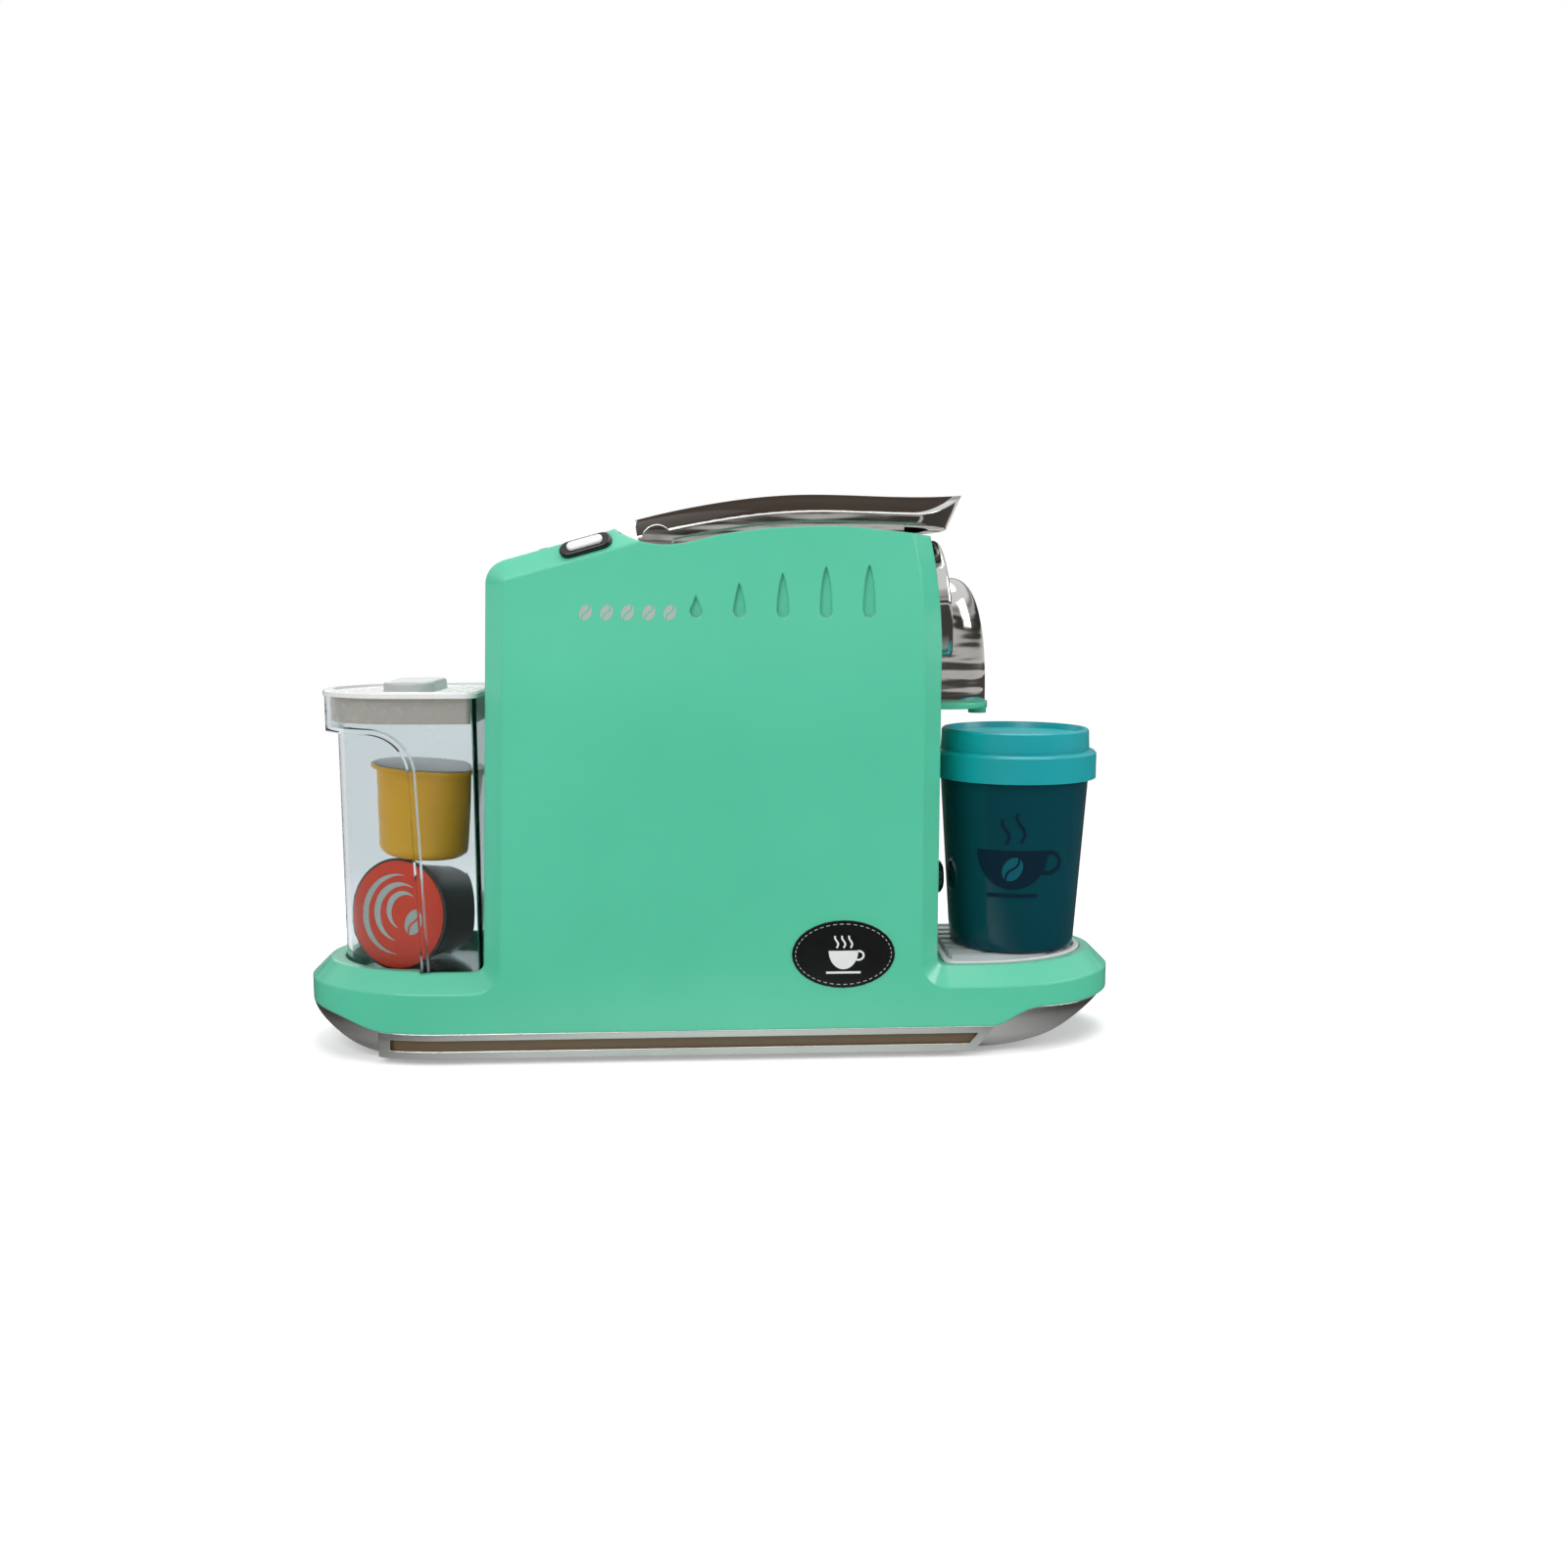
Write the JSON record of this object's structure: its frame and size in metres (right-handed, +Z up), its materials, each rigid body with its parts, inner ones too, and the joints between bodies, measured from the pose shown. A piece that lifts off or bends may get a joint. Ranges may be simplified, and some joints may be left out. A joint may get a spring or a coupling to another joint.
{
  "type": "toy coffee maker",
  "caption": "Toy capsule coffee machine with a hinged chrome lever over a capsule chamber, a lift-out water tank at the rear and a lidded cup on the drip tray under its spout.",
  "frame": {"origin": "middle of the base on the table, under the feet", "axes": "+X towards the spout and cup, +Y to the machine's left side, +Z up"},
  "size_m": [0.277, 0.072, 0.1854],
  "materials": {
    "housing_mint": "smooth moulded",
    "plated_trim": "chrome-plated plastic",
    "black_moulding": "fine texture",
    "black_gloss_moulding": "smooth moulded",
    "dark_gloss": "polished",
    "white_moulding": "smooth moulded",
    "tray_grey": "fine texture",
    "zinc_screws": "zinc plated",
    "steel_pin": "ground",
    "motor_can": "drawn can",
    "spring_brass": "nickel flash",
    "rubber_feet": "matt",
    "silicone_seal": "satin",
    "clear_hose": "clear silicone",
    "cell_sleeve": "printed sleeve",
    "board_laminate": "solder mask",
    "speaker_black": "matt",
    "lamp_clear": "clear moulded",
    "tank_clear": "clear moulded",
    "cup_teal": "tinted moulded",
    "lid_teal": "smooth moulded",
    "capsule_yellow": "smooth moulded",
    "capsule_orange": "smooth moulded",
    "film_grey": "lacquered film",
    "film_orange": "lacquered film"
  },
  "bodies": {
    "machine": {"right_shell": "housing_mint", "left_shell": "housing_mint", "plinth": "plated_trim", "bottom_plate": "black_moulding", "battery_door": "black_moulding", "door_screw": "zinc_screws", "plate_screws": "zinc_screws", "housing_screws": "zinc_screws", "feet": "rubber_feet", "batteries": "cell_sleeve", "battery_contacts": "spring_brass", "circuit_board": "board_laminate", "button_board": "board_laminate", "speaker": "speaker_black", "tank_seat": "white_moulding", "tank_seal": "silicone_seal", "pump_housing": "white_moulding", "pump_motor": "motor_can", "inlet_hose": "clear_hose", "outlet_hose": "clear_hose", "lever_pin": "steel_pin", "capsule_chamber": "black_moulding", "switch_pod": "black_gloss_moulding", "front_bezel": "plated_trim", "spout_cover": "plated_trim", "spout_plate": "housing_mint", "nozzle": "housing_mint", "lamp_bezel": "plated_trim", "lamp_lens": "lamp_clear", "lamp_led": "lamp_clear", "drip_tray": "tray_grey"},
    "lever": {"lever_frame": "plated_trim", "lever_inlay": "dark_gloss"},
    "impeller": {"pump_impeller": "white_moulding"},
    "button": {"start_button": "white_moulding"},
    "knob": {"power_knob": "black_gloss_moulding"},
    "tank": {"water_tank": "tank_clear", "capsule_upright_cup": "capsule_yellow", "capsule_upright_film": "film_grey", "capsule_lying_cup": "capsule_orange", "capsule_lying_film": "film_orange"},
    "valve": {"tank_valve": "white_moulding"},
    "tank_cover": {"tank_lid": "white_moulding", "lid_grip": "tray_grey"},
    "cup": {"cup": "cup_teal"},
    "cup_cover": {"cup_lid": "lid_teal"}
  },
  "joints": [
    {"name": "lever_hinge", "type": "hinge", "parent": "machine", "child": "lever", "pos_m": [-0.0175, 0, 0.1688], "axis": [0, -1, 0], "range_deg": [0, 75]},
    {"name": "impeller_spin", "type": "hinge", "parent": "machine", "child": "impeller", "pos_m": [-0.064, 0, 0.0167], "axis": [1, 0, 0], "continuous": true},
    {"name": "start_button_press", "type": "slide", "parent": "machine", "child": "button", "axis": [0.1903, 0.7071, -0.681], "range_m": [0, 0.001], "stiffness_N_per_m": 300},
    {"name": "power_knob_slide", "type": "slide", "parent": "machine", "child": "knob", "axis": [0.9631, 0, 0.2691], "range_m": [0, 0.003]},
    {"name": "tank_lift", "type": "slide", "parent": "machine", "child": "tank", "axis": [0, 0, 1], "range_m": [0, 0.09]},
    {"name": "tank_valve_lift", "type": "slide", "parent": "tank", "child": "valve", "axis": [0, 0, 1], "range_m": [0, 0.0025]},
    {"name": "tank_lid_lift", "type": "slide", "parent": "tank", "child": "tank_cover", "axis": [0, 0, 1], "range_m": [0, 0.04]},
    {"name": "cup_slide", "type": "slide", "parent": "machine", "child": "cup", "axis": [1, 0, 0], "range_m": [0, 0.095]},
    {"name": "cup_lid_lift", "type": "slide", "parent": "cup", "child": "cup_cover", "axis": [0, 0, 1], "range_m": [0, 0.0046]}
  ]
}
